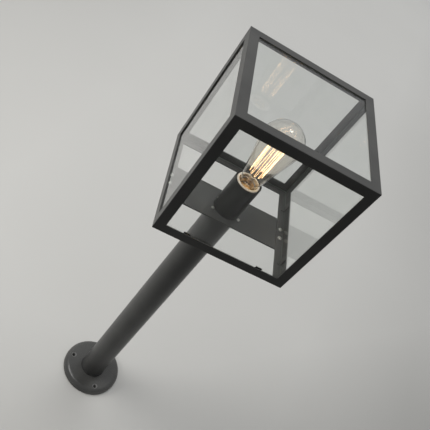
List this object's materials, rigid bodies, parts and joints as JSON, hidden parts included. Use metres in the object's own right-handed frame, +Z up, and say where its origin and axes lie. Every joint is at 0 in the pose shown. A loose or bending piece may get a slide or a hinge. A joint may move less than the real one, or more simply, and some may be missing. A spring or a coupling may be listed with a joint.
{
  "type": "garden post light",
  "caption": "Outdoor post light: a square glass lantern with an open bottom and a screw-in filament bulb, on a round post with a screw-down foot.",
  "frame": {"origin": "centre of the foot's underside, on the ground", "axes": "+Z up along the post, -Y to the front of the lantern, +X to its right"},
  "size_m": [0.21, 0.21, 0.8],
  "materials": {
    "black_paint": "matt powder coat",
    "pane_glass": "clear",
    "zinc_steel": "bright zinc",
    "ceramic": "glazed",
    "brass": "bright",
    "solder": "dull",
    "black_rubber": "matt",
    "white_plastic": "satin",
    "black_insulator": "glassy",
    "bulb_glass": "clear, faintly amber",
    "hook_wire": "dull",
    "filament": "glowing"
  },
  "bodies": {
    "post_light": {"bottom_rail_front": "black_paint", "bottom_rail_right": "black_paint", "bottom_rail_back": "black_paint", "bottom_rail_left": "black_paint", "top_rail_front": "black_paint", "top_rail_right": "black_paint", "top_rail_back": "black_paint", "top_rail_left": "black_paint", "corner_post_front_left": "black_paint", "corner_post_front_right": "black_paint", "corner_post_back_right": "black_paint", "corner_post_back_left": "black_paint", "glass_clips": "black_paint", "bridge_plate": "black_paint", "post_tube": "black_paint", "post_head_plate": "black_paint", "foot_flange": "black_paint", "holder_sleeve": "black_paint", "glass_front": "pane_glass", "glass_back": "pane_glass", "glass_left": "pane_glass", "glass_right": "pane_glass", "glass_top": "pane_glass", "bridge_screws": "zinc_steel", "bridge_nuts": "zinc_steel", "head_screws": "zinc_steel", "holder_nipple": "zinc_steel", "holder_nut": "zinc_steel", "terminal_bracket": "zinc_steel", "earth_screw": "zinc_steel", "terminal_screws": "zinc_steel", "sleeve_grub_screw": "zinc_steel", "lampholder_body": "ceramic", "holder_terminals": "brass", "screw_shell": "brass", "centre_contact": "brass", "cable_grommet": "black_rubber", "terminal_block": "white_plastic"},
    "bulb_carrier": {"bulb_contact": "solder"},
    "bulb": {"bulb_cap": "brass", "bulb_insulator": "black_insulator", "bulb_glass": "bulb_glass", "bulb_stem": "bulb_glass", "bulb_hooks": "hook_wire", "bulb_filament": "filament"}
  },
  "joints": [
    {"name": "bulb_lift", "type": "slide", "parent": "post_light", "child": "bulb_carrier", "axis": [0, 0, 1], "range_m": [0, 0.0128]},
    {"name": "bulb_turn", "type": "hinge", "parent": "bulb_carrier", "child": "bulb", "pos_m": [0, 0, 0.637], "axis": [0, 0, 1], "range_deg": [0, 1260]}
  ],
  "couplings": [
    {"joint": "bulb_lift", "follows": "bulb_turn", "m_per_rad": 0.0005775}
  ]
}
